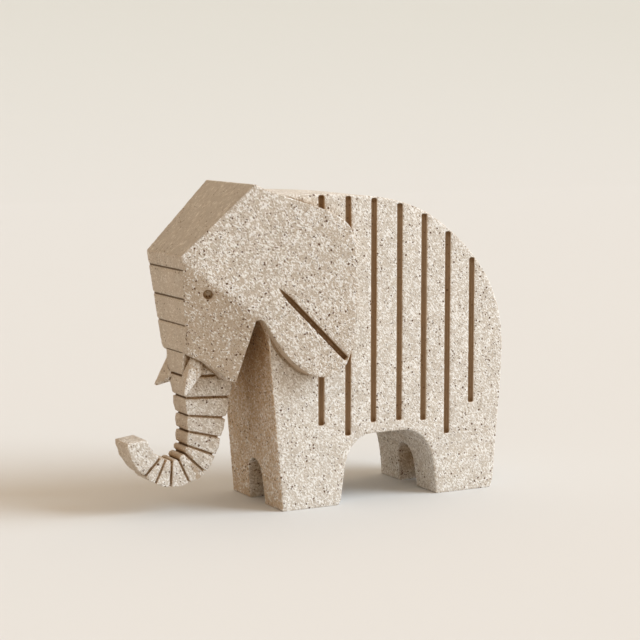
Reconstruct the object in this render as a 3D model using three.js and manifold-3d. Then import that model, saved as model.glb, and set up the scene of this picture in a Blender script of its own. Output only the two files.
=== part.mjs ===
// Decorative elephant sculpture, cast in one piece of speckled resin.
// Sizes are in millimetres. The elephant looks towards -X, its left flank faces -Y and +Z is up.
// It is the same on both flanks, so every form below is laid out in the side view and spread
// evenly to either side of the middle plane y = 0.

import * as THREE from 'three';
import { mergeVertices } from 'three/addons/utils/BufferGeometryUtils.js';
import { ConvexGeometry } from 'three/addons/geometries/ConvexGeometry.js';
import Module from 'manifold-3d';

const wasm = await Module();
wasm.setup();

// Body: a thick slab with flat flanks.
const bodyHalfWidth = 35;
const chestLean = 0.0853;
const neckHeight = 119.5;
const bodyFrontTopX = -12;
const toeRadius = 1;
const heelRadius = 3;
const frontLegLength = 40.6;
const rearLegFront = 109.7;
const rearLegBack = 152;

// The back and rump as points [x, z], from the withers over the rump to just above the heel.
const backLine = [
  [bodyFrontTopX, 192.4],
  [8, 192.9],
  [26, 192.7],
  [45, 191.8],
  [64.6, 190.2],
  [79, 187.6],
  [91, 183.9],
  [102.3, 178.9],
  [113, 172.2],
  [122, 165.3],
  [130, 158],
  [137.4, 150.2],
  [144.2, 141.2],
  [150, 131.2],
  [154.4, 120.4],
  [157.3, 109],
  [158.7, 96.3],
  [158.6, 82],
  [157.6, 65],
  [155.9, 45.6],
  [154.1, 22],
  [rearLegBack + 0.7, heelRadius + 2],
];

// Arch under the belly as points [x, z], from the front leg to the rear leg.
const bellyHeight = 43.1;
const archLine = [
  [frontLegLength + 0.2, heelRadius + 0.4],
  [42.3, 15],
  [43.6, 24.8],
  [45.4, 30.4],
  [48.4, 35.8],
  [53, 40.2],
  [58, 42.4],
  [63, bellyHeight],
  [88.3, bellyHeight],
  [94.3, 41.2],
  [99.3, 38],
  [103.5, 32.6],
  [106.2, 26.2],
  [108, 18.2],
  [rearLegFront - 0.6, 8.8],
];

// Tunnel between the left and right legs, as half widths at heights [y, z].
const legGap = [
  [10.8, -1],
  [10, 8],
  [9.2, 18],
  [7.6, 23.2],
  [4.6, 26.2],
  [0, 27.3],
];

// Upright flutes in the flanks: the middle of each in x and the height of its lower end.
// Each one stops just short of the back, so the back's outline is unbroken.
const fluteX = [26.8, 45.5, 63.6, 82, 99.7, 117.2, 135.2];
const fluteFoot = [51, 43.2, 50.1, 49.8, 48.3, 38.4, 57];
const fluteRadius = 1.9;
const fluteDepth = 2.4;
const fluteTopMargin = 0.9;

// Head: the ears and the brow share one flaring side plane. It stands this far from the middle
// plane at the crown, and moves out by these amounts for each millimetre back and each down.
const browX = -62;
const browHeight = 157.9;
const crownX = -17.4;
const crownHeight = 199.7;
const crownHalfWidth = 34.5;
const earFlareBack = 0.253;
const earFlareDown = 0.066;

// The cheek is a second plane that turns in below the crease, given in the same way.
const cheekX = -60.9;
const cheekHeight = 154.7;
const cheekHalfWidth = 26.3;
const cheekFlareBack = 0.458;
const cheekTuckDown = 0.188;

const muzzleX = -56.3;
const muzzleHeight = 102.7;
const jawCornerX = -27.3;
const jawCornerHeight = 80.6;
const headBackX = -3;

// Lower edge of the jaw, as shares of the way from its corner to the muzzle [in x, in z].
const jawLine = [
  [0.12, 0.03],
  [0.32, 0.28],
  [0.666, 0.593],
  [0.9, 0.751],
  [0.976, 0.8145],
].map(([along, up]) => [
  jawCornerX + along * (muzzleX - jawCornerX),
  jawCornerHeight + up * (muzzleHeight - jawCornerHeight),
]);

// Outline of the head in the side view [x, z].
const headOutline = [
  [browX, browHeight],
  [crownX, crownHeight],
  [-11.4, 196.5],
  [-6.2, 194.7],
  [headBackX, 193.5],
  [headBackX, neckHeight],
  [-18.9, neckHeight - 0.8],
  [jawCornerX, jawCornerHeight],
  ...jawLine,
  [muzzleX, muzzleHeight],
];

// Outline of the ear in the side view [x, z], from the crown round the lobe to the crease.
const earInnerHalfWidth = 31;
const earOutline = [
  [crownX, crownHeight],
  [-11.4, 196.5],
  [-6.2, 194.7],
  [7.4, 189.7],
  [19.4, 185.8],
  [28.9, 181.4],
  [34.6, 177.8],
  [38.6, 173.4],
  [41, 166.5],
  [42.1, 156.6],
  [41.7, 141.5],
  [39.9, 117.5],
  [38.2, 105],
  [36.1, 96.6],
  [32.6, 89.7],
  [27.1, 85.2],
  [19.7, 83.6],
  [13.2, 84.8],
  [6.3, 89.3],
  [-2.5, 98.1],
  [-10.4, 110.5],
  [-15.4, 118.9],
  [-20, 122.6],
  [-17, 130],
  [-17, 160],
];

// First and last of those points on the rounded lobe.
const earLobeFrom = 2;
const earLobeTo = 22;

// Groove across the ear, cut square to the flank. It opens from a fine point at its upper end
// and is full size from this share of its length on.
const earGrooveStart = [-6, 138.4];
const earGrooveEnd = [33.6, 94.3];
const earGrooveWidth = 3;
const earGrooveDepth = 3.2;
const earGrooveFineWidth = 0.5;
const earGrooveFineDepth = 0.2;
const earGrooveFullFrom = 0.18;

// How far a cutting form runs on past the surface that it cuts.
const cutterReach = 6;

// Notches across the front of the face, from the brow to the muzzle.
const faceNotchHeights = [149.3, 131.9, 115.8, 98.2];
const notchWidth = 2.2;
const notchDepth = 1.2;

// Eye: a plain round hole.
const eyeX = -46.3;
const eyeHeight = 134.7;
const eyeRadius = 2.9;
const eyeDepth = 3.6;

// Trunk: its front or inner edge and its back or outer edge, as points [x, z] from the muzzle,
// one pair at each station down to the tip, and the half width there.
const trunkInner = [
  [4.3, 3.3],
  [0.9, -4.7],
  [2, -18.7],
  [3.5, -32.1],
  [5.1, -43.1],
  [5.5, -52.9],
  [4.9, -61.5],
  [3.2, -66.1],
  [-0.8, -69.5],
  [-5.3, -70.3],
  [-9.6, -69.1],
  [-13.3, -67.3],
  [-17.5, -63.9],
  [-20.3, -59.9],
  [-22.3, -55.3],
];
const trunkOuter = [
  [38.3, 1.3],
  [36.9, -9.7],
  [35.2, -20.1],
  [33.5, -33.5],
  [30.5, -46.4],
  [27.2, -58.4],
  [23.7, -69.2],
  [17.3, -79.5],
  [6.5, -84.8],
  [-6.3, -86.1],
  [-16.2, -82.8],
  [-23.1, -77.6],
  [-30, -69.7],
  [-33, -63.1],
  [-34.4, -56.6],
];
const trunkHalfWidths = [12.9, 12.9, 10.2, 9.5, 9.2, 8.9, 8.7, 8.7, 8.8, 9, 9.2, 9.4, 9.7, 9.9, 10];

// A ring is cut at each station from the first of these to the last.
const firstRing = 2;
const lastRing = 11;
const ringWidth = 1.3;
const ringDepth = 1.4;
const segmentBulge = 0.7;

// Tusk: corners as [x, y, z] from the muzzle on one side. The root is buried in the muzzle and
// the trunk, a ridge down the outside parts the front facet from the side one, and the tip is blunt.
const tuskCorners = [
  [7.3, 14, -3.7],
  [4.5, 15.7, -6.4],
  [2.3, 15.2, -11],
  [0.4, 14.7, -15.5],
  [5.8, 17.5, -7.1],
  [2.7, 19, -15.5],
  [10.7, 17.8, -8.7],
  [13.3, 16, -15.7],
  [10.3, 7, -18.7],
  [6.3, 7, -23.1],
  [1.4, 8, -20.7],
  [1.3, 11.6, -16.1],
  [-2.6, 21, -28.5],
  [-3.3, 22.6, -27.5],
  [-1.1, 22.4, -28.4],
];

const resinColour = '#d8cfc0';

/** Turns a closed three.js geometry into a solid that can be joined and cut. */
function solid(geometry) {
  const bare = geometry.clone();
  bare.deleteAttribute('normal');
  bare.deleteAttribute('uv');
  const merged = mergeVertices(bare, 1e-4);
  const mesh = new wasm.Mesh({
    numProp: 3,
    vertProperties: new Float32Array(merged.attributes.position.array),
    triVerts: new Uint32Array(merged.index.array),
  });
  return new wasm.Manifold(mesh);
}

/** Turns a joined solid back into a three.js geometry. */
function toGeometry(body) {
  const mesh = body.getMesh();
  const geometry = new THREE.BufferGeometry();
  geometry.setAttribute('position', new THREE.BufferAttribute(mesh.vertProperties, 3));
  geometry.setIndex(new THREE.BufferAttribute(mesh.triVerts, 1));
  return geometry;
}

/**
 * Spreads a side view outline [x, z] to both sides of the middle plane.
 * halfWidthAt(x, z) gives how far each flank stands from it.
 */
function spread(outline, halfWidthAt) {
  const shape = new THREE.Shape(outline.map(([x, z]) => new THREE.Vector2(x, z)));
  const slab = new THREE.ExtrudeGeometry(shape, { depth: 2, bevelEnabled: false });
  slab.translate(0, 0, -1);
  slab.rotateX(Math.PI / 2);
  const place = slab.attributes.position;
  for (let i = 0; i < place.count; i += 1) {
    const side = Math.sign(place.getY(i));
    place.setY(i, side * halfWidthAt(place.getX(i), place.getZ(i)));
  }
  return solid(slab);
}

/** Distance of the ear and brow plane from the middle plane. */
function earHalfWidth(x, z) {
  return crownHalfWidth + earFlareBack * (x - crownX) + earFlareDown * (crownHeight - z);
}

/** Distance of the cheek plane from the middle plane. */
function cheekPlaneHalfWidth(x, z) {
  return cheekHalfWidth + cheekFlareBack * (x - cheekX) - cheekTuckDown * (cheekHeight - z);
}

/** Front of the face in x at height z. */
function faceX(z) {
  const slope = (browX - muzzleX) / (browHeight - muzzleHeight);
  return muzzleX + slope * (z - muzzleHeight);
}

/** The back and rump drawn as a smooth curve. */
function smoothBack() {
  const curve = new THREE.SplineCurve(backLine.map(([x, z]) => new THREE.Vector2(x, z)));
  return curve.getPoints(64).map((point) => [point.x, point.y]);
}

/** Height of the back above the floor at x. */
function backHeight(x) {
  const back = smoothBack();
  const i = back.findIndex((point) => point[0] > x);
  const [x0, z0] = back[i - 1];
  const [x1, z1] = back[i];
  return z0 + ((z1 - z0) * (x - x0)) / (x1 - x0);
}

/** A quarter round at the floor, from its upright end to its level end; side is -1 or 1 in x. */
function footCorner(x, radius, side) {
  const steps = 5;
  const points = [];
  for (let i = 0; i <= steps; i += 1) {
    const turn = (Math.PI / 2) * (i / steps);
    points.push([
      x + side * radius * (Math.cos(turn) - 1),
      radius * (1 - Math.sin(turn)),
    ]);
  }
  return points;
}

/** Side view of the body, with rounded toes and heels and a smooth back. */
function bodyOutline() {
  return [
    ...footCorner(0, toeRadius, -1).reverse(),
    [-chestLean * neckHeight, neckHeight],
    ...smoothBack(),
    ...footCorner(rearLegBack, heelRadius, 1),
    ...footCorner(rearLegFront, toeRadius, -1).reverse(),
    ...archLine.slice().reverse(),
    ...footCorner(frontLegLength, heelRadius, 1),
  ];
}

/** The tunnel between the legs, running the whole length of the body. */
function legTunnel() {
  const left = legGap.map(([y, z]) => new THREE.Vector2(-y, z));
  const right = legGap.slice(0, -1).reverse().map(([y, z]) => new THREE.Vector2(y, z));
  const shape = new THREE.Shape([...left, ...right]);
  const length = rearLegBack + 2 * cutterReach;
  const tunnel = new THREE.ExtrudeGeometry(shape, { depth: length, bevelEnabled: false });
  tunnel.rotateX(Math.PI / 2);
  tunnel.rotateZ(Math.PI / 2);
  tunnel.translate(-cutterReach, 0, 0);
  return solid(tunnel);
}

/** One upright flute, from its foot to just under the back. */
function flute(x, foot, side) {
  const height = backHeight(x + fluteRadius) - fluteTopMargin - foot;
  const cutter = new THREE.CylinderGeometry(fluteRadius, fluteRadius, height, 16);
  cutter.rotateX(Math.PI / 2);
  const y = side * (bodyHalfWidth - fluteDepth + fluteRadius);
  cutter.translate(x, y, foot + height / 2);
  return solid(cutter);
}

/** A V-shaped notch running across the face at height z. */
function faceNotch(z) {
  const x = faceX(z);
  const outline = [
    [x - notchDepth, z - notchWidth],
    [x + notchDepth, z],
    [x - notchDepth, z + notchWidth],
  ];
  return spread(outline, () => bodyHalfWidth);
}

/** The groove across one ear, as a bar whose floor sinks from the ear's face. */
function earGroove(side) {
  const start = new THREE.Vector2(...earGrooveStart);
  const end = new THREE.Vector2(...earGrooveEnd);
  const along = end.clone().sub(start);
  const across = new THREE.Vector2(-along.y, along.x).normalize();
  const stops = [
    { share: 0, width: earGrooveFineWidth, depth: earGrooveFineDepth },
    { share: earGrooveFullFrom, width: earGrooveWidth, depth: earGrooveDepth },
    { share: 1, width: earGrooveWidth, depth: earGrooveDepth },
  ];
  const corners = [];
  for (const stop of stops) {
    const point = start.clone().lerp(end, stop.share);
    for (const sign of [-1, 1]) {
      const x = point.x + (sign * across.x * stop.width) / 2;
      const z = point.y + (sign * across.y * stop.width) / 2;
      const face = earHalfWidth(x, z);
      corners.push(new THREE.Vector3(x, side * (face - stop.depth), z));
      corners.push(new THREE.Vector3(x, side * (face + cutterReach), z));
    }
  }
  return solid(new ConvexGeometry(corners));
}

/** Side view of the ear, with its lobe drawn as a smooth curve behind the straight crown. */
function smoothEar() {
  const lobe = earOutline.slice(earLobeFrom, earLobeTo + 1);
  const curve = new THREE.SplineCurve(lobe.map(([x, z]) => new THREE.Vector2(x, z)));
  return [
    ...earOutline.slice(0, earLobeFrom),
    ...curve.getPoints(72).map((point) => [point.x, point.y]),
    ...earOutline.slice(earLobeTo + 1),
  ];
}

/** Everything under the two ears that lies nearer the middle than their inner faces. */
function earClearance() {
  const middleHeight = (crownHeight + jawCornerHeight) / 2;
  const scale = 1.5;
  const wide = earOutline.map(([x, z]) => [x * scale, middleHeight + (z - middleHeight) * scale]);
  return spread(wide, () => earInnerHalfWidth);
}

/** The eye's hole, drilled square to the cheek. */
function eyeHole(side) {
  const face = cheekPlaneHalfWidth(eyeX, eyeHeight);
  const out = new THREE.Vector3(-cheekFlareBack, side, -cheekTuckDown).normalize();
  const drill = new THREE.CylinderGeometry(eyeRadius, eyeRadius, eyeDepth * 2, 24);
  drill.applyQuaternion(new THREE.Quaternion().setFromUnitVectors(new THREE.Vector3(0, 1, 0), out));
  drill.translate(eyeX, side * face, eyeHeight);
  return solid(drill);
}

/** Edges and half width of the trunk at each station. */
function trunkStations() {
  return trunkHalfWidths.map((half, i) => ({
    inner: [muzzleX + trunkInner[i][0], muzzleHeight + trunkInner[i][1]],
    outer: [muzzleX + trunkOuter[i][0], muzzleHeight + trunkOuter[i][1]],
    half,
  }));
}

/** Pushes both edges of the trunk out by half a bulge between two stations. */
function between(a, b, bulge) {
  const mix = (p, q) => [(p[0] + q[0]) / 2, (p[1] + q[1]) / 2];
  const inner = mix(a.inner, b.inner);
  const outer = mix(a.outer, b.outer);
  const width = Math.hypot(outer[0] - inner[0], outer[1] - inner[1]);
  const step = [(outer[0] - inner[0]) / width, (outer[1] - inner[1]) / width];
  return {
    inner: [inner[0] - step[0] * bulge, inner[1] - step[1] * bulge],
    outer: [outer[0] + step[0] * bulge, outer[1] + step[1] * bulge],
    half: (a.half + b.half) / 2 + bulge * 0.5,
  };
}

/** Trunk made of one slab between each pair of stations, drawn in by inset all round. */
function trunkSolid(inset, bulge) {
  const stations = trunkStations();
  const rows = [];
  stations.forEach((station, i) => {
    rows.push(station);
    if (i > 0 && i < stations.length - 1) {
      rows.push(between(station, stations[i + 1], bulge));
    }
  });
  let trunk = null;
  for (let i = 0; i < rows.length - 1; i += 1) {
    const corners = [];
    for (const row of [rows[i], rows[i + 1]]) {
      const width = Math.hypot(row.outer[0] - row.inner[0], row.outer[1] - row.inner[1]);
      const step = [(row.outer[0] - row.inner[0]) / width, (row.outer[1] - row.inner[1]) / width];
      for (const side of [-1, 1]) {
        const y = side * (row.half - inset);
        corners.push(new THREE.Vector3(row.inner[0] + step[0] * inset, y, row.inner[1] + step[1] * inset));
        corners.push(new THREE.Vector3(row.outer[0] - step[0] * inset, y, row.outer[1] - step[1] * inset));
      }
    }
    const piece = solid(new ConvexGeometry(corners));
    trunk = trunk ? trunk.add(piece) : piece;
  }
  return trunk;
}

/** Thin slabs that lie where the rings are cut into the trunk. */
function ringSlabs() {
  let slabs = null;
  for (const station of trunkStations().slice(firstRing, lastRing + 1)) {
    const dx = station.outer[0] - station.inner[0];
    const dz = station.outer[1] - station.inner[1];
    const length = Math.hypot(dx, dz) + cutterReach;
    const slab = new THREE.BoxGeometry(length, bodyHalfWidth, ringWidth);
    slab.rotateY(-Math.atan2(dz, dx));
    slab.translate(station.inner[0] + dx / 2, 0, station.inner[1] + dz / 2);
    slabs = slabs ? slabs.add(solid(slab)) : solid(slab);
  }
  return slabs;
}

/** One tusk on the given side. */
function tusk(side) {
  const corners = tuskCorners.map(
    ([x, y, z]) => new THREE.Vector3(muzzleX + x, side * y, muzzleHeight + z),
  );
  return solid(new ConvexGeometry(corners));
}

/** The whole sculpture as one joined solid. */
function sculpture() {
  let body = spread(bodyOutline(), () => bodyHalfWidth);
  body = body.subtract(legTunnel());
  fluteX.forEach((x, i) => {
    for (const side of [-1, 1]) {
      body = body.subtract(flute(x, fluteFoot[i], side));
    }
  });

  let head = spread(headOutline, earHalfWidth);
  head = head.intersect(spread(headOutline, cheekPlaneHalfWidth));
  for (const z of faceNotchHeights) {
    head = head.subtract(faceNotch(z));
  }

  const ears = spread(smoothEar(), earHalfWidth).subtract(earClearance());

  const core = trunkSolid(ringDepth, 0);
  let trunk = trunkSolid(0, segmentBulge);
  trunk = trunk.subtract(ringSlabs().subtract(core));

  let whole = body.add(head).add(ears).add(trunk);
  for (const side of [-1, 1]) {
    whole = whole.add(tusk(side));
    whole = whole.subtract(earGroove(side));
    whole = whole.subtract(eyeHole(side));
  }
  return whole;
}

const geometry = toGeometry(sculpture());
geometry.computeBoundingBox();
const box = geometry.boundingBox;
geometry.translate(-(box.min.x + box.max.x) / 2, -(box.min.y + box.max.y) / 2, -box.min.z);

const resin = new THREE.MeshStandardMaterial({ color: resinColour, roughness: 0.85, metalness: 0 });
const elephant = new THREE.Mesh(geometry, resin);
elephant.name = 'elephant';

const model = new THREE.Group();
model.name = 'elephant_sculpture';
model.add(elephant);

export default model;
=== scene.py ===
"""Dresses the cast resin elephant and sets it in a plain studio.

The elephant is one casting. Its surface starts from the merged CAD form, gets softened, slightly
ragged arrises and an uneven cast skin, and is then finished in speckled, stone-look resin, with
painted shade in enclosed places, in grooves and on faces that lie in shade, and paler arrises that
are partly painted highlight and partly edge wear.
"""

import functools
import logging
import math
from dataclasses import dataclass, field
from enum import Enum
from typing import Dict, List, Optional, Sequence, Tuple

import bpy
import numpy as np
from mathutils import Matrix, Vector


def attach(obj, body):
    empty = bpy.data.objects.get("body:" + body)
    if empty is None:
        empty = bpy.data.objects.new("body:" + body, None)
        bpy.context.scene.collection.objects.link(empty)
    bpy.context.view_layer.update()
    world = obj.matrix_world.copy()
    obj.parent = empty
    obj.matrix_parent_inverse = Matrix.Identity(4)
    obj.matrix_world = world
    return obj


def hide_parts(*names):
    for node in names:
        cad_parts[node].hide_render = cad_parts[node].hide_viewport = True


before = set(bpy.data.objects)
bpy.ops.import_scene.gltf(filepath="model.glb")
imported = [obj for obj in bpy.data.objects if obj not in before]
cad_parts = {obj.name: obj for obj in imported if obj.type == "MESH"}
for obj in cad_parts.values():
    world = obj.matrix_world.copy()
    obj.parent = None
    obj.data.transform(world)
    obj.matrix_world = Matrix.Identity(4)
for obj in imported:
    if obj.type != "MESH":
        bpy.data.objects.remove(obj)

log = logging.getLogger("elephant")
logging.basicConfig(level=logging.INFO, format="%(name)s: %(message)s")

Colour = Tuple[float, float, float]
Point = Tuple[float, float, float]
Band = Tuple[float, float]

MM = 0.001
NODE = "elephant"
BODY = "root"
CAVITY = "cavity"


class Fineness(Enum):
    """How finely the casting's surface is made: voxel size in millimetres and triangles kept."""

    TRIAL = (0.7, 110_000)
    FINAL = (0.45, 197_000)


class Face(Enum):
    """The ways the casting's surface is finished; the ear, cheek, brow, front, chest and cut finishes carry
    painted shade in their base tone.
    """

    CAST = 0
    EAR = 1
    CHEEK = 2
    BROW = 3
    FRONT = 4
    CHEST = 5
    CUT = 6
    EYE = 7


def deselect() -> None:
    """Leaves nothing selected and no object being edited."""
    if bpy.context.object and bpy.context.object.mode != "OBJECT":
        bpy.ops.object.mode_set(mode="OBJECT")
    bpy.ops.object.select_all(action="DESELECT")


def pick(piece: bpy.types.Object) -> None:
    """Makes one object the selected and active one.

    Args:
        piece: the object to work on.
    """
    deselect()
    piece.select_set(True)
    bpy.context.view_layer.objects.active = piece


def count_triangles(mesh: bpy.types.Mesh) -> int:
    """Counts a mesh's triangles.

    Args:
        mesh: the mesh.

    Returns:
        How many triangles its faces make.
    """
    return sum(len(face.vertices) - 2 for face in mesh.polygons)


def apply_modifier(piece: bpy.types.Object, kind: str, **values: object) -> None:
    """Adds a modifier, sets its values and applies it.

    Args:
        piece: the object that gets the modifier.
        kind: the modifier's type.
        values: the modifier's own settings.
    """
    pick(piece)
    modifier = piece.modifiers.new(kind.lower(), kind)
    for name, value in values.items():
        setattr(modifier, name, value)
    bpy.ops.object.modifier_apply(modifier=modifier.name)


class Wiring:
    """Adds nodes to one node tree and joins their sockets."""

    def __init__(self, tree: bpy.types.NodeTree) -> None:
        """Starts from an empty tree.

        Args:
            tree: the node tree to fill.
        """
        self.tree = tree
        tree.nodes.clear()
        self.column = 0

    def node(
        self, kind: str, inputs: Optional[Dict[object, object]] = None, **settings: object
    ) -> bpy.types.Node:
        """Adds a node.

        Args:
            kind: the node's type name.
            inputs: a value or an output socket for each input, by name or number.
            settings: the node's own settings.

        Returns:
            The new node.
        """
        node = self.tree.nodes.new(kind)
        node.location = (self.column * 60, -40 * (self.column % 7))
        self.column += 1
        for name, value in settings.items():
            setattr(node, name, value)
        for key, value in (inputs or {}).items():
            if isinstance(value, bpy.types.NodeSocket):
                self.tree.links.new(value, node.inputs[key])
            else:
                node.inputs[key].default_value = value
        return node

    def maths(self, operation: str, first: object, second: object = 0.0, clamp: bool = False) -> object:
        """Joins two numbers with an operation.

        Args:
            operation: the Math node's operation.
            first: a number or a socket.
            second: a number or a socket.
            clamp: whether the result is held between 0 and 1.

        Returns:
            The result's socket.
        """
        node = self.node("ShaderNodeMath", {0: first, 1: second}, operation=operation, use_clamp=clamp)
        return node.outputs[0]

    def ramp(self, value: object, low: object, high: object) -> object:
        """Turns a number into a soft mask that is 0 below low and 1 above high.

        Args:
            value: the number's socket.
            low: where the mask leaves 0.
            high: where it reaches 1.

        Returns:
            The mask's socket.
        """
        inputs = {"Value": value, "From Min": low, "From Max": high}
        node = self.node("ShaderNodeMapRange", inputs, interpolation_type="SMOOTHSTEP")
        return node.outputs["Result"]

    def mix(self, share: object, first: object, second: object) -> object:
        """Mixes two colours.

        Args:
            share: how much of the second colour shows.
            first: the first colour or its socket.
            second: the second colour or its socket.

        Returns:
            The mixed colour's socket.
        """
        node = self.node("ShaderNodeMix", {0: share}, data_type="RGBA")
        for key, colour in ((6, first), (7, second)):
            if isinstance(colour, bpy.types.NodeSocket):
                self.tree.links.new(colour, node.inputs[key])
            else:
                node.inputs[key].default_value = (*colour, 1.0)
        return node.outputs[2]

    def noise(
        self, place: object, scale: object, detail: float = 2.0, roughness: float = 0.5
    ) -> bpy.types.Node:
        """Adds a noise texture.

        Args:
            place: the socket of the place it is read at.
            scale: features in each unit of length.
            detail: layers of finer noise.
            roughness: strength of the finer layers.

        Returns:
            The noise node.
        """
        inputs = {"Vector": place, "Scale": scale, "Detail": detail, "Roughness": roughness}
        return self.node("ShaderNodeTexNoise", inputs, noise_dimensions="3D")


class GrainGroup:
    """The stone look's grain, as a node group that each finish places with its own values."""

    NAME = "stone_grain"
    INPUTS = {
        "Place": ("NodeSocketVector", None),
        "Strokes": ("NodeSocketVector", None),
        "Fleck Size": ("NodeSocketFloat", 1.2),
        "Fleck Cover": ("NodeSocketFloat", 0.4),
        "Speck Spacing": ("NodeSocketFloat", 3.0),
        "Speck Size": ("NodeSocketFloat", 0.45),
    }
    OUTPUTS = ("Fleck", "Grit", "Speck", "Mottle", "Height")

    # Bends in each millimetre, and how far they push, in millimetres
    PLACE_BEND: Band = (0.7, 1.1)
    STROKE_BEND: Band = (0.45, 1.6)
    # Features in each millimetre
    CLUSTER_SCALE = 0.2
    BROAD_SCALE = 0.07
    FINE_SCALE = 2.4
    # Features to each fleck
    CURL_SCALE = 0.85
    GRIT_SCALE = 1.9
    # Where a mask leaves 0 and where it reaches 1
    CLUSTER_BAND: Band = (0.36, 0.64)
    CURL_BAND: Band = (0.04, 0.01)
    GRIT_BAND: Band = (0.55, 0.63)
    DOT_BAND: Band = (-0.05, 0.08)
    # How far the cover moves the flecks' edge, and how soft that edge is
    FLECK_EDGE = 0.66
    FLECK_BLUR = 0.07
    COVER_REACH = 0.25
    CLUSTER_COVER = 0.3
    # The small specks beside the large ones
    SMALL_SPACING = 0.55
    SMALL_SIZE = 0.62
    SMALL_STRENGTH = 0.8
    # How unevenly dots are sized, and the largest of them
    SIZE_SPREAD = 1.2
    LARGEST_DOT = 1.1
    BROAD_SHARE = 0.6
    # What each mark adds to the height or takes from it
    PATCH_HEIGHT = 1.5
    FINE_HEIGHT = 0.45
    GRIT_HEIGHT = 0.8
    SPECK_HEIGHT = 0.4

    def build(self) -> bpy.types.NodeTree:
        """Makes the group.

        Returns:
            The node group, which reads places in millimetres.
        """
        tree = bpy.data.node_groups.new(self.NAME, "ShaderNodeTree")
        wiring = Wiring(tree)
        for name, (kind, value) in self.INPUTS.items():
            socket = tree.interface.new_socket(name, in_out="INPUT", socket_type=kind)
            if value is not None:
                socket.default_value = value
        for name in self.OUTPUTS:
            tree.interface.new_socket(name, in_out="OUTPUT", socket_type="NodeSocketFloat")
        given = wiring.node("NodeGroupInput").outputs
        result = wiring.node("NodeGroupOutput").inputs
        for name, socket in self._masks(wiring, given).items():
            tree.links.new(socket, result[name])
        return tree

    def _masks(self, wiring: Wiring, given: bpy.types.NodeInputs) -> Dict[str, object]:
        """Draws the flecks, grit, specks, mottle and height.

        Args:
            wiring: the group's wiring.
            given: the group's inputs.

        Returns:
            The socket of each output, by name.
        """
        times = functools.partial(wiring.maths, "MULTIPLY")
        plus = functools.partial(wiring.maths, "ADD")
        minus = functools.partial(wiring.maths, "SUBTRACT")
        largest = functools.partial(wiring.maths, "MAXIMUM")
        place = self._bend(wiring, given["Place"], *self.PLACE_BEND)
        strokes = self._bend(wiring, given["Strokes"], *self.STROKE_BEND)
        per_fleck = wiring.maths("DIVIDE", 1.0, given["Fleck Size"])
        gathered = wiring.noise(given["Place"], self.CLUSTER_SCALE, 2.0).outputs["Fac"]
        clusters = wiring.ramp(gathered, *self.CLUSTER_BAND)

        patches = wiring.noise(strokes, per_fleck, 3.0, 0.62).outputs["Fac"]
        cover = plus(given["Fleck Cover"], times(clusters, self.CLUSTER_COVER))
        edge = minus(self.FLECK_EDGE, times(cover, self.COVER_REACH))
        patch = wiring.ramp(patches, edge, plus(edge, self.FLECK_BLUR))
        curls = wiring.noise(strokes, times(per_fleck, self.CURL_SCALE), 0.5).outputs["Fac"]
        off_curl = wiring.maths("ABSOLUTE", minus(curls, 0.5))
        curl = times(wiring.ramp(off_curl, *self.CURL_BAND), given["Fleck Cover"])
        fleck = largest(patch, curl)

        grit_marks = wiring.noise(strokes, times(per_fleck, self.GRIT_SCALE), 2.0, 0.6).outputs["Fac"]
        grit = wiring.ramp(grit_marks, *self.GRIT_BAND)

        large = self._dots(wiring, place, given["Speck Spacing"], given["Speck Size"])
        closer = times(given["Speck Spacing"], self.SMALL_SPACING)
        smaller = times(given["Speck Size"], self.SMALL_SIZE)
        small = self._dots(wiring, strokes, closer, smaller)
        speck = largest(large, times(small, self.SMALL_STRENGTH))

        broad = wiring.noise(given["Place"], self.BROAD_SCALE, 3.0, 0.6).outputs["Fac"]
        fine = wiring.noise(place, self.FINE_SCALE, 1.5, 0.6).outputs["Fac"]
        mottle = plus(times(broad, self.BROAD_SHARE), times(fine, 1 - self.BROAD_SHARE))

        height = plus(times(patches, self.PATCH_HEIGHT), times(fine, self.FINE_HEIGHT))
        height = minus(height, times(grit_marks, self.GRIT_HEIGHT))
        height = minus(height, times(speck, self.SPECK_HEIGHT))
        return {"Fleck": fleck, "Grit": grit, "Speck": speck, "Mottle": mottle, "Height": height}

    def _bend(self, wiring: Wiring, place: object, scale: float, reach: float) -> object:
        """Pushes a place about a little, so that nothing lies in straight rows.

        Args:
            wiring: the group's wiring.
            place: the place's socket.
            scale: bends in each millimetre.
            reach: how far it is pushed, in millimetres.

        Returns:
            The new place's socket.
        """
        push = wiring.noise(place, scale, 1.0).outputs["Color"]
        middle = (0.5,) * 3
        centred = wiring.node("ShaderNodeVectorMath", {0: push, 1: middle}, operation="SUBTRACT")
        pushed = {0: centred.outputs[0], 1: (reach,) * 3}
        sized = wiring.node("ShaderNodeVectorMath", pushed, operation="MULTIPLY")
        moved = {0: place, 1: sized.outputs[0]}
        return wiring.node("ShaderNodeVectorMath", moved, operation="ADD").outputs[0]

    def _dots(self, wiring: Wiring, place: object, spacing: object, size: object) -> object:
        """Scatters dots of uneven size, one at most in each cell.

        Args:
            wiring: the group's wiring.
            place: the place's socket.
            spacing: about how far apart they lie, in millimetres.
            size: the largest radius, in millimetres.

        Returns:
            The dots' mask.
        """
        per_cell = wiring.maths("DIVIDE", 1.0, spacing)
        cells = wiring.node("ShaderNodeTexVoronoi", {"Vector": place, "Scale": per_cell}, feature="F1")
        away = wiring.maths("MULTIPLY", cells.outputs["Distance"], spacing)
        chance = wiring.node("ShaderNodeSeparateColor", {0: cells.outputs["Color"]}).outputs[0]
        share = wiring.maths("MULTIPLY", wiring.maths("POWER", chance, self.SIZE_SPREAD), self.LARGEST_DOT)
        inside = wiring.maths("SUBTRACT", wiring.maths("MULTIPLY", size, share), away)
        return wiring.ramp(inside, *self.DOT_BAND)


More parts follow.
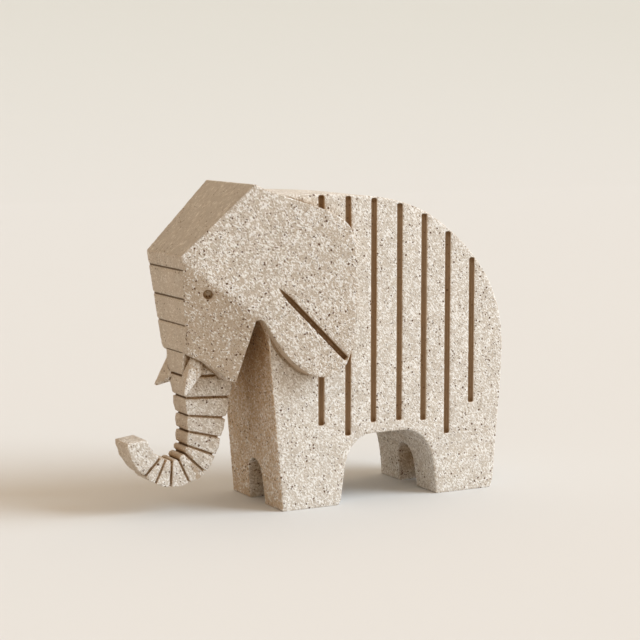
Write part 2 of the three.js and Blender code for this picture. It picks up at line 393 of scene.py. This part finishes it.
@dataclass(frozen=True)
class StoneResin:
    """A finish of matte cast resin with pale flecks, brown grit and dark specks, in millimetres.

    Strokes run in the side view, at turn degrees below the horizontal, stroke_length times as long
    as they are wide. Painted shade darkens what is enclosed and grooves; paler arrises are partly painted
    highlight, partly edge wear.
    """

    name: str
    base: Colour = (0.60, 0.55, 0.485)
    fleck: Colour = (0.865, 0.855, 0.83)
    grit: Colour = (0.37, 0.275, 0.185)
    speck: Colour = (0.12, 0.062, 0.03)
    # Painted shade: a colour multiplied in where the surface is enclosed within the reach below, in
    # millimetres
    painted_shade: Colour = (0.68, 0.505, 0.32)
    painted_shade_reach: float = 70.0
    # Painted shade in grooves
    groove_shade: Colour = (0.50, 0.41, 0.31)
    # A paler tint on the arrises, partly painted highlight and partly edge wear
    arris: Colour = (1.14, 1.13, 1.11)
    fleck_size: float = 0.95
    fleck_cover: float = 0.5
    grit_strength: float = 0.55
    speck_spacing: float = 2.5
    speck_size: float = 0.62
    relief: float = 0.34
    roughness: float = 0.88
    specular: float = 0.2
    mottle_low: float = 0.82
    mottle_depth: float = 0.36
    # Where the painted shade of enclosed places, the painted shade of grooves and the arris tint start and
    # end
    painted_shade_band: Band = (0.92, 0.22)
    groove_shade_band: Band = (0.02, 0.1)
    arris_band: Band = (-0.1, -0.35)
    turn: float = 48.0
    stroke_length: float = 1.7

    def material(self, grain: bpy.types.NodeTree) -> bpy.types.Material:
        """Makes the material.

        Args:
            grain: the stone grain's node group.

        Returns:
            The finished material.
        """
        material = bpy.data.materials.new(self.name)
        material.use_nodes = True
        wiring = Wiring(material.node_tree)
        local = wiring.node("ShaderNodeTexCoord").outputs["Object"]
        place = wiring.node("ShaderNodeMapping", {"Vector": local, "Scale": (1 / MM,) * 3}).outputs[0]
        turned = wiring.node(
            "ShaderNodeMapping", {"Vector": place, "Rotation": (0.0, -math.radians(self.turn), 0.0)}
        ).outputs[0]
        strokes = wiring.node(
            "ShaderNodeMapping", {"Vector": turned, "Scale": (1 / self.stroke_length, 1.0, 1.0)}
        ).outputs[0]
        marks = wiring.node(
            "ShaderNodeGroup",
            {
                "Place": place,
                "Strokes": strokes,
                "Fleck Size": self.fleck_size,
                "Fleck Cover": self.fleck_cover,
                "Speck Spacing": self.speck_spacing,
                "Speck Size": self.speck_size,
            },
            node_tree=grain,
        ).outputs

        grit_share = wiring.maths("MULTIPLY", marks["Grit"], self.grit_strength)
        colour = wiring.mix(grit_share, self.base, self.grit)
        colour = wiring.mix(marks["Fleck"], colour, self.fleck)
        uneven = wiring.maths("MULTIPLY", marks["Mottle"], self.mottle_depth)
        mottle_tone = wiring.maths("ADD", uneven, self.mottle_low)
        mottled = wiring.node("ShaderNodeVectorMath", {0: colour, 1: mottle_tone}, operation="MULTIPLY")
        # Multiplies in the painted shade of enclosed places and grooves and the pale arris tint, partly
        # painted highlight and partly edge wear
        light_and_wear_inputs = {0: mottled.outputs[0], 1: self._painted_light_and_wear(wiring)}
        with_light_and_wear = wiring.node("ShaderNodeVectorMath", light_and_wear_inputs, operation="MULTIPLY").outputs[0]
        colour = wiring.mix(marks["Speck"], with_light_and_wear, self.speck)

        bump = wiring.node(
            "ShaderNodeBump", {"Strength": 1.0, "Distance": self.relief * MM, "Height": marks["Height"]}
        )
        shader = wiring.node(
            "ShaderNodeBsdfPrincipled",
            {
                "Base Color": colour,
                "Roughness": self.roughness,
                "Specular IOR Level": self.specular,
                "Normal": bump.outputs[0],
            },
        )
        wiring.node("ShaderNodeOutputMaterial", {0: shader.outputs[0]})
        return material

    def _painted_light_and_wear(self, wiring: Wiring) -> bpy.types.NodeSocket:
        """Works out the painted shade of enclosed places and grooves, and the pale arris tint, partly painted
        highlight and partly edge wear.

        Args:
            wiring: the material's wiring.

        Returns:
            The tint's socket.
        """
        white: Colour = (1.0, 1.0, 1.0)
        reach = {"Distance": self.painted_shade_reach * MM}
        # Painted shade where the surface is enclosed, from ambient occlusion
        open_share = wiring.node("ShaderNodeAmbientOcclusion", reach, samples=8, only_local=True)
        enclosed_shade = wiring.mix(wiring.ramp(open_share.outputs["AO"], *self.painted_shade_band), white, self.painted_shade)
        stored = wiring.node("ShaderNodeAttribute", attribute_name=CAVITY, attribute_type="GEOMETRY")
        cavity = stored.outputs["Fac"]
        # Painted shade in grooves, from the stored cavity depth
        groove_shade = wiring.mix(wiring.ramp(cavity, *self.groove_shade_band), white, self.groove_shade)
        # Paler arrises, partly painted highlight and partly edge wear
        with_light_and_wear = wiring.mix(wiring.ramp(cavity, *self.arris_band), groove_shade, self.arris)
        return wiring.node("ShaderNodeVectorMath", {0: enclosed_shade, 1: with_light_and_wear}, operation="MULTIPLY").outputs[0]


@dataclass
class Casting:
    """The whole elephant as one casting, made over the CAD form."""

    softening: int = 1
    swell_size: float = 1.9
    swell_depth: float = 0.34
    swell_on_flats: float = 0.35
    arris_level: float = -0.08
    sole_margin: float = 1.2
    cavity_steps: int = 5
    finishes: Dict[Face, StoneResin] = field(default_factory=dict)

    def build(self, form: bpy.types.Object, fineness: Fineness) -> bpy.types.Object:
        """Makes the casting's surface and dresses it.

        Args:
            form: the CAD node that the casting keeps to.
            fineness: how finely the surface is made.

        Returns:
            The finished piece.
        """
        voxel, kept = fineness.value
        piece = self._copy(form)
        apply_modifier(piece, "REMESH", mode="VOXEL", voxel_size=voxel * MM, adaptivity=0.0)
        apply_modifier(piece, "SMOOTH", factor=0.5, iterations=self.softening)
        depths = self._find_cavities(piece.data)
        self._swell(piece, depths)
        share = min(1.0, kept / count_triangles(piece.data))
        apply_modifier(piece, "DECIMATE", decimate_type="COLLAPSE", ratio=share)
        pick(piece)
        bpy.ops.object.shade_smooth()
        self._dress(piece)
        return piece

    def _copy(self, form: bpy.types.Object) -> bpy.types.Object:
        """Copies the CAD form as a mesh of its own, with its loose triangles merged.

        Args:
            form: the CAD node.

        Returns:
            The new object.
        """
        piece = bpy.data.objects.new("cast_elephant", form.data.copy())
        bpy.context.scene.collection.objects.link(piece)
        piece.data.materials.clear()
        pick(piece)
        bpy.ops.object.mode_set(mode="EDIT")
        bpy.ops.mesh.select_all(action="SELECT")
        bpy.ops.mesh.remove_doubles(threshold=1e-6)
        bpy.ops.object.mode_set(mode="OBJECT")
        return piece

    def _swell(self, piece: bpy.types.Object, depths: np.ndarray) -> None:
        """Makes the skin slightly uneven, always inwards and most at the arrises, but leaves the soles flat.

        Args:
            piece: the casting.
            depths: how far each point lies under its neighbourhood, in millimetres.
        """
        places = np.empty(len(piece.data.vertices) * 3, np.float32)
        piece.data.vertices.foreach_get("co", places)
        above = places[2::3] > self.sole_margin * MM
        arris = depths < self.arris_level
        group = piece.vertex_groups.new(name="skin")
        group.add(np.flatnonzero(above & ~arris).tolist(), self.swell_on_flats, "REPLACE")
        group.add(np.flatnonzero(above & arris).tolist(), 1.0, "REPLACE")
        texture = bpy.data.textures.new("cast_skin", "CLOUDS")
        texture.noise_scale = self.swell_size * MM
        texture.noise_depth = 2
        apply_modifier(
            piece,
            "DISPLACE",
            texture=texture,
            texture_coords="LOCAL",
            strength=self.swell_depth * MM,
            mid_level=1.0,
            vertex_group=group.name,
        )
        piece.vertex_groups.clear()

    def _find_cavities(self, mesh: bpy.types.Mesh) -> np.ndarray:
        """Stores how far each point lies under its neighbourhood, in millimetres.

        Grooves come out above zero and arrises below it.

        Args:
            mesh: the casting's mesh.

        Returns:
            The depths that were stored.
        """
        count = len(mesh.vertices)
        places = np.empty(count * 3, np.float32)
        normals = np.empty(count * 3, np.float32)
        ends = np.empty(len(mesh.edges) * 2, np.int32)
        mesh.vertices.foreach_get("co", places)
        mesh.vertices.foreach_get("normal", normals)
        mesh.edges.foreach_get("vertices", ends)
        places = places.reshape(-1, 3).astype(float)
        start, end = ends[0::2], ends[1::2]
        neighbours = np.bincount(start, minlength=count) + np.bincount(end, minlength=count)
        eased = places.copy()
        for _ in range(self.cavity_steps):
            moved = np.empty_like(eased)
            for axis in range(3):
                from_end = np.bincount(start, eased[end, axis], count)
                from_start = np.bincount(end, eased[start, axis], count)
                moved[:, axis] = (from_end + from_start) / neighbours
            eased = moved
        depth = ((eased - places) * normals.reshape(-1, 3)).sum(axis=1) / MM
        stored = mesh.attributes.new(CAVITY, "FLOAT", "POINT")
        stored.data.foreach_set("value", depth.astype(np.float32))
        return depth

    def _dress(self, piece: bpy.types.Object) -> None:
        """Gives each face its finish.

        Args:
            piece: the casting.
        """
        grain = GrainGroup().build()
        for face in Face:
            piece.data.materials.append(self.finishes[face].material(grain))
        faces = Facing(piece.data)
        chosen = np.full(faces.count, Face.CAST.value, np.int32)
        # The ear, cheek, brow, front, chest and cut finishes below carry painted shade in their base tones
        chosen[faces.ear()] = Face.EAR.value
        chosen[faces.cheek()] = Face.CHEEK.value
        chosen[faces.front()] = Face.FRONT.value
        chosen[faces.brow()] = Face.BROW.value
        chosen[faces.chest()] = Face.CHEST.value
        chosen[faces.flutes() | faces.ear_groove() | faces.ear_rim()] = Face.CUT.value
        chosen[faces.eyes()] = Face.EYE.value
        piece.data.polygons.foreach_set("material_index", chosen)
        piece.data.update()


class Facing:
    """Tells which faces of the casting get which finish.

    Places are in millimetres in the CAD frame, and directions are shares of a unit normal.
    """

    BODY_HALF_WIDTH = 35.0
    FLUTE_FIRST = -7.25
    FLUTE_PITCH = 18.07
    FLUTE_COUNT = 7
    FLUTE_REACH = 3.0
    CUT_DEPTH = 0.4
    OUTLINE_MARGIN = 1.3
    OUTLINE_STEP = 1.0
    FLUTE_FLOOR = 5.0
    FACE_BACK = -70.0
    BROW_BACK = -44.0
    BROW_BOTTOM = 150.0
    CHEEK_BACK = -45.0
    CHEST_FRONT = -48.0
    RIM_FRONT = -52.0
    GROOVE_START = (-40.0, 138.4)
    GROOVE_END = (-0.5, 94.3)
    GROOVE_HALF_WIDTH = 2.1
    GROOVE_FLOOR = 4.5
    GROOVE_RUNOUT = 2.0
    CROWN = (-51.5, 199.7)
    CROWN_HALF_WIDTH = 34.5
    EAR_FLARE = (0.253, -0.066)
    EAR_BACK = 9.0
    LOBE_TOP = 128.0
    CHEEK_CORNER = (-95.0, 154.7)
    CHEEK_HALF_WIDTH = 26.3
    CHEEK_FLARE = (0.458, 0.188)
    PLANE_REACH = 0.9
    CREASE_DEPTH = 0.3
    EYE = (-80.4, 134.7)
    EYE_RADIUS = 3.0
    EYE_MARGIN = 1.2
    EYE_DEPTH = 0.6
    EYE_FLOOR = 15.0
    BROW_SLOPE = 0.45
    FRONT_SLOPE = 0.6
    FRONT_ASIDE = 0.5
    CHEST_SLOPE = 0.5
    EDGE_SLOPE = 0.75
    TURNED_DOWN = 0.3

    def __init__(self, mesh: bpy.types.Mesh) -> None:
        """Reads the faces' places and directions.

        Args:
            mesh: the casting's mesh.
        """
        self.count = len(mesh.polygons)
        places = np.empty(self.count * 3, np.float32)
        normals = np.empty(self.count * 3, np.float32)
        mesh.polygons.foreach_get("center", places)
        mesh.polygons.foreach_get("normal", normals)
        self.x, self.y, self.z = places.reshape(-1, 3).T / MM
        self.nx, self.ny, self.nz = normals.reshape(-1, 3).T
        self.aside = np.abs(self.y)

    def _ear_plane(self) -> np.ndarray:
        """Works out how far out the plane of the ear and brow stands at each face.

        Returns:
            The half widths.
        """
        flare_x, flare_z = self.EAR_FLARE
        return self.CROWN_HALF_WIDTH + flare_x * (self.x - self.CROWN[0]) + flare_z * (self.z - self.CROWN[1])

    def _cheek_plane(self) -> np.ndarray:
        """Works out how far out the plane of the cheek stands at each face.

        Returns:
            The half widths.
        """
        flare_x, flare_z = self.CHEEK_FLARE
        return self.CHEEK_HALF_WIDTH + flare_x * (self.x - self.CHEEK_CORNER[0]) + flare_z * (
            self.z - self.CHEEK_CORNER[1]
        )

    def ear(self) -> np.ndarray:
        """Finds the outer face of the ears and the side of the brow.

        Returns:
            A mask of their faces.
        """
        return (np.abs(self.aside - self._ear_plane()) < self.PLANE_REACH) & (self.x < self.EAR_BACK)

    def cheek(self) -> np.ndarray:
        """Finds the cheeks.

        Returns:
            A mask of their faces.
        """
        low = self._cheek_plane() < self._ear_plane() - self.CREASE_DEPTH
        on_plane = np.abs(self.aside - self._cheek_plane()) < self.PLANE_REACH
        return low & on_plane & (self.x < self.CHEEK_BACK)

    def brow(self) -> np.ndarray:
        """Finds the sloping brow.

        Returns:
            A mask of its faces.
        """
        sloping = (self.nx < -self.BROW_SLOPE) & (self.nz > self.BROW_SLOPE)
        return sloping & (self.z > self.BROW_BOTTOM) & (self.x < self.BROW_BACK)

    def front(self) -> np.ndarray:
        """Finds the front of the face and of the trunk.

        Returns:
            A mask of their faces.
        """
        facing = (self.nx < -self.FRONT_SLOPE) & (np.abs(self.ny) < self.FRONT_ASIDE)
        return facing & (self.x < self.FACE_BACK)

    def chest(self) -> np.ndarray:
        """Finds the chest and the fronts of the front legs.

        Returns:
            A mask of their faces.
        """
        behind_trunk = (self.x > self.CHEST_FRONT) & (self.x < self.EAR_BACK)
        within_body = self.aside < self.BODY_HALF_WIDTH + self.CUT_DEPTH
        return behind_trunk & within_body & (self.nx < -self.CHEST_SLOPE)

    def flutes(self) -> np.ndarray:
        """Finds the walls of the flutes, well inside the body's side view.

        Returns:
            A mask of their faces.
        """
        steps = ((self.x - self.FLUTE_FIRST) / self.FLUTE_PITCH).round().clip(0, self.FLUTE_COUNT - 1)
        near = np.abs(self.x - self.FLUTE_FIRST - steps * self.FLUTE_PITCH) < self.FLUTE_REACH
        depth = self.BODY_HALF_WIDTH - self.aside
        sunk = (depth > self.CUT_DEPTH) & (depth < self.FLUTE_FLOOR)
        return near & sunk & self._within_outline()

    def _within_outline(self) -> np.ndarray:
        """Finds faces between the top and bottom of the body at their place along it.

        Returns:
            A mask of them.
        """
        bins = ((self.x - self.x.min()) / self.OUTLINE_STEP).astype(int)
        body = np.abs(self.aside - self.BODY_HALF_WIDTH) < self.CUT_DEPTH
        top = np.full(bins.max() + 1, -np.inf)
        bottom = np.full(bins.max() + 1, np.inf)
        np.maximum.at(top, bins[body], self.z[body])
        np.minimum.at(bottom, bins[body], self.z[body])
        return (self.z < top[bins] - self.OUTLINE_MARGIN) & (self.z > bottom[bins] + self.OUTLINE_MARGIN)

    def ear_groove(self) -> np.ndarray:
        """Finds the walls of the groove across each ear.

        Returns:
            A mask of their faces.
        """
        start = np.array(self.GROOVE_START)
        along = np.array(self.GROOVE_END) - start
        length = np.hypot(*along)
        along = along / length
        dx, dz = self.x - start[0], self.z - start[1]
        share = dx * along[0] + dz * along[1]
        across = np.abs(dx * along[1] - dz * along[0])
        ear = self._ear_plane()
        sunk = (self.aside < ear - self.CUT_DEPTH) & (self.aside > ear - self.GROOVE_FLOOR)
        along_it = (share > 0) & (share < length + self.GROOVE_RUNOUT)
        return sunk & along_it & (across < self.GROOVE_HALF_WIDTH)

    def ear_rim(self) -> np.ndarray:
        """Finds the lower edge of each ear, from the cheek to the body.

        Returns:
            A mask of their faces.
        """
        beyond_body = self.aside > self.BODY_HALF_WIDTH + self.PLANE_REACH
        within_ear = self.aside < self._ear_plane() - self.CUT_DEPTH
        edge = beyond_body & within_ear & (np.abs(self.ny) < self.EDGE_SLOPE)
        faces_down = (self.nx < self.TURNED_DOWN) & (self.nz < self.TURNED_DOWN)
        return edge & faces_down & (self.x > self.RIM_FRONT) & (self.z < self.LOBE_TOP)

    def eyes(self) -> np.ndarray:
        """Finds the walls of the eyes.

        Returns:
            A mask of their faces.
        """
        away = np.hypot(self.x - self.EYE[0], self.z - self.EYE[1])
        sunk = (self.aside < self._cheek_plane() - self.EYE_DEPTH) & (self.aside > self.EYE_FLOOR)
        return sunk & (away < self.EYE_RADIUS + self.EYE_MARGIN)


@dataclass
class Studio:
    """A plain pale floor that sweeps up behind, soft light and the camera, in metres."""

    floor_colour: Colour = (0.685, 0.70, 0.71)
    backdrop_colour: Colour = (0.595, 0.605, 0.585)
    floor_half_width: float = 14.0
    floor_front: float = -8.0
    floor_back: float = 9.0
    wall_height: float = 9.0
    sweep: float = 6.0
    backdrop_height: float = 0.6
    key_direction: Point = (0.69, -0.462, 0.558)
    key_spread: float = 38.0
    key_strength: float = 2.75
    key_colour: Colour = (0.80, 0.91, 1.0)
    sky_colour: Colour = (1.0, 0.78, 0.57)
    sky_strength: float = 0.78
    horizon_colour: Colour = (0.83, 0.78, 0.71)
    sky_lift: float = 0.5
    sky_side: float = 0.25
    camera_place: Point = (-0.527905, -1.00198, 0.25256)
    camera_pitch: float = 82.92
    camera_heading: float = -28.25
    camera_lens: float = 102.43
    sensor: float = 36.0

    def floor(self) -> bpy.types.Object:
        """Makes the floor and its sweep.

        Returns:
            The floor.
        """
        deselect()
        bpy.ops.mesh.primitive_plane_add(size=1.0)
        floor = bpy.context.object
        floor.name = "studio_floor"
        mesh = floor.data
        half = self.floor_half_width
        for vertex in mesh.vertices:
            vertex.co.x *= 2 * half
            vertex.co.y = self.floor_front if vertex.co.y < 0 else self.floor_back
        bpy.ops.object.mode_set(mode="EDIT")
        bpy.ops.mesh.select_mode(type="EDGE")
        bpy.ops.mesh.select_all(action="DESELECT")
        bpy.ops.object.mode_set(mode="OBJECT")
        for edge in mesh.edges:
            edge.select = all(mesh.vertices[i].co.y > self.floor_back - MM for i in edge.vertices)
        bpy.ops.object.mode_set(mode="EDIT")
        bpy.ops.mesh.extrude_region_move(TRANSFORM_OT_translate={"value": (0, 0, self.wall_height)})
        bpy.ops.mesh.select_all(action="DESELECT")
        bpy.ops.object.mode_set(mode="OBJECT")
        for edge in mesh.edges:
            ends = [mesh.vertices[i].co for i in edge.vertices]
            edge.select = all(end.y > self.floor_back - MM and end.z < MM for end in ends)
        bpy.ops.object.mode_set(mode="EDIT")
        bpy.ops.mesh.bevel(offset=self.sweep, segments=24, affect="EDGES")
        bpy.ops.object.mode_set(mode="OBJECT")
        bpy.ops.object.shade_smooth()
        mesh.materials.append(self._paint())
        return floor

    def _paint(self) -> bpy.types.Material:
        """Makes the floor's matte paint.

        Returns:
            The material.
        """
        paint = bpy.data.materials.new("floor_paint")
        paint.use_nodes = True
        wiring = Wiring(paint.node_tree)
        place = wiring.node("ShaderNodeTexCoord").outputs["Object"]
        height = wiring.node("ShaderNodeSeparateXYZ", {0: place}).outputs[2]
        share = wiring.maths("SQRT", wiring.maths("DIVIDE", height, self.backdrop_height, clamp=True))
        colour = wiring.mix(share, self.floor_colour, self.backdrop_colour)
        shader = wiring.node(
            "ShaderNodeBsdfPrincipled", {"Base Color": colour, "Roughness": 0.95, "Specular IOR Level": 0.1}
        )
        wiring.node("ShaderNodeOutputMaterial", {0: shader.outputs[0]})
        return paint

    def light(self) -> None:
        """Sets the soft key light and the warm sky."""
        direction = Vector(self.key_direction).normalized()
        lamp = bpy.data.lights.new("key", "SUN")
        lamp.angle = math.radians(self.key_spread)
        lamp.energy = self.key_strength
        lamp.color = self.key_colour
        key = bpy.data.objects.new("key", lamp)
        key.rotation_euler = direction.to_track_quat("Z", "Y").to_euler()
        bpy.context.scene.collection.objects.link(key)
        sky = bpy.data.worlds.new("sky")
        sky.use_nodes = True
        wiring = Wiring(sky.node_tree)
        outward = wiring.node("ShaderNodeTexCoord").outputs["Generated"]
        parts = wiring.node("ShaderNodeSeparateXYZ", {0: outward}).outputs
        lift = wiring.maths("MULTIPLY", parts[2], self.sky_lift)
        side = wiring.maths("MULTIPLY", parts[0], self.sky_side)
        share = wiring.maths("ADD", wiring.maths("ADD", lift, side), 1.0 - self.sky_lift / 2)
        strength = wiring.maths("MULTIPLY", share, self.sky_strength)
        seen = wiring.node("ShaderNodeLightPath").outputs["Is Camera Ray"]
        colour = wiring.mix(seen, self.sky_colour, self.horizon_colour)
        shown = wiring.maths("MAXIMUM", strength, seen)
        backdrop = wiring.node("ShaderNodeBackground", {"Color": colour, "Strength": shown})
        wiring.node("ShaderNodeOutputWorld", {0: backdrop.outputs[0]})
        bpy.context.scene.world = sky
        bpy.context.scene.view_settings.view_transform = "Standard"

    def camera(self) -> None:
        """Sets the camera at the photograph's viewing angle."""
        data = bpy.data.cameras.new("camera")
        data.lens = self.camera_lens
        data.sensor_width = self.sensor
        camera = bpy.data.objects.new("camera", data)
        camera.location = self.camera_place
        camera.rotation_euler = (math.radians(self.camera_pitch), 0.0, math.radians(self.camera_heading))
        bpy.context.scene.collection.objects.link(camera)
        bpy.context.scene.camera = camera


def report(piece: bpy.types.Object) -> None:
    """Logs a finished piece's name and count of triangles.

    Args:
        piece: the piece.
    """
    log.info("%s: %d triangles", piece.name, count_triangles(piece.data))


def choose_finishes() -> Dict[Face, StoneResin]:
    """Sets the finish of each kind of face.

    Returns:
        The finishes.
    """
    # A darker brown that paints shade, in the cheeks partly and in the cuts fully
    shade_brown: Colour = (0.51, 0.42, 0.325)
    no_flecks = -1.0
    return {
        Face.CAST: StoneResin(name="cast_resin"),
        # The ear's darker, warmer base is partly painted shade and partly the ear's own tone; its stronger
        # grit and relief are its grain
        Face.EAR: StoneResin(
            name="ear_resin_painted_shade",
            base=(0.57, 0.50, 0.42),
            fleck=(0.90, 0.89, 0.87),
            grit_strength=0.8,
            relief=0.52,
        ),
        # The cheek's darker base is partly painted shade and partly the cheek's own tone
        Face.CHEEK: StoneResin(
            name="cheek_resin_painted_shade", base=shade_brown, fleck_cover=0.3, grit_strength=0.75, relief=0.45
        ),
        # The brow's darker base and flecks are partly painted shade and partly its own tone; its long strokes
        # are its grain
        Face.BROW: StoneResin(
            name="brow_resin_painted_shade",
            base=(0.51, 0.45, 0.375),
            fleck=(0.70, 0.645, 0.56),
            fleck_cover=0.25,
            speck_size=0.42,
            turn=-43.0,
            stroke_length=3.6,
            relief=0.45,
        ),
        # The face front's darker base and flecks are partly painted shade and partly its own tone; its
        # notches get darker painted groove shade
        Face.FRONT: StoneResin(
            name="front_resin_painted_shade",
            base=(0.57, 0.48, 0.385),
            groove_shade=(0.30, 0.265, 0.225),
            fleck=(0.76, 0.70, 0.61),
            fleck_cover=0.25,
            speck_size=0.45,
            grit_strength=0.75,
            stroke_length=1.3,
            relief=0.3,
        ),
        # Painted shade: the chest and the fronts of the front legs get a browner base, for the warm shade
        # under the head and trunk
        Face.CHEST: StoneResin(
            name="chest_resin_painted_shade", base=(0.58, 0.43, 0.285), fleck_cover=0.4, grit_strength=0.85
        ),
        # Painted shade: the flutes, the ear grooves and the ear rims get a darker brown base, with no flecks
        Face.CUT: StoneResin(
            name="cut_resin_painted_shade",
            base=shade_brown,
            fleck_cover=no_flecks,
            grit_strength=0.25,
            relief=0.1,
            speck_spacing=3.0,
        ),
        # The eyes get lighter painted shade of enclosed places and grooves than the rest, and no flecks
        Face.EYE: StoneResin(
            name="eye_resin",
            painted_shade=(0.80, 0.68, 0.52),
            groove_shade=(0.70, 0.60, 0.48),
            fleck_cover=no_flecks,
            relief=0.05,
        ),
    }


def main() -> None:
    """Builds the casting and the studio."""
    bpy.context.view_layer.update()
    fineness = Fineness.FINAL
    casting = Casting(finishes=choose_finishes()).build(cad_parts[NODE], fineness)
    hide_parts(NODE)
    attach(casting, BODY)
    report(casting)

    studio = Studio()
    floor = studio.floor()
    report(floor)
    studio.light()
    studio.camera()


if __name__ == "__main__":
    main()
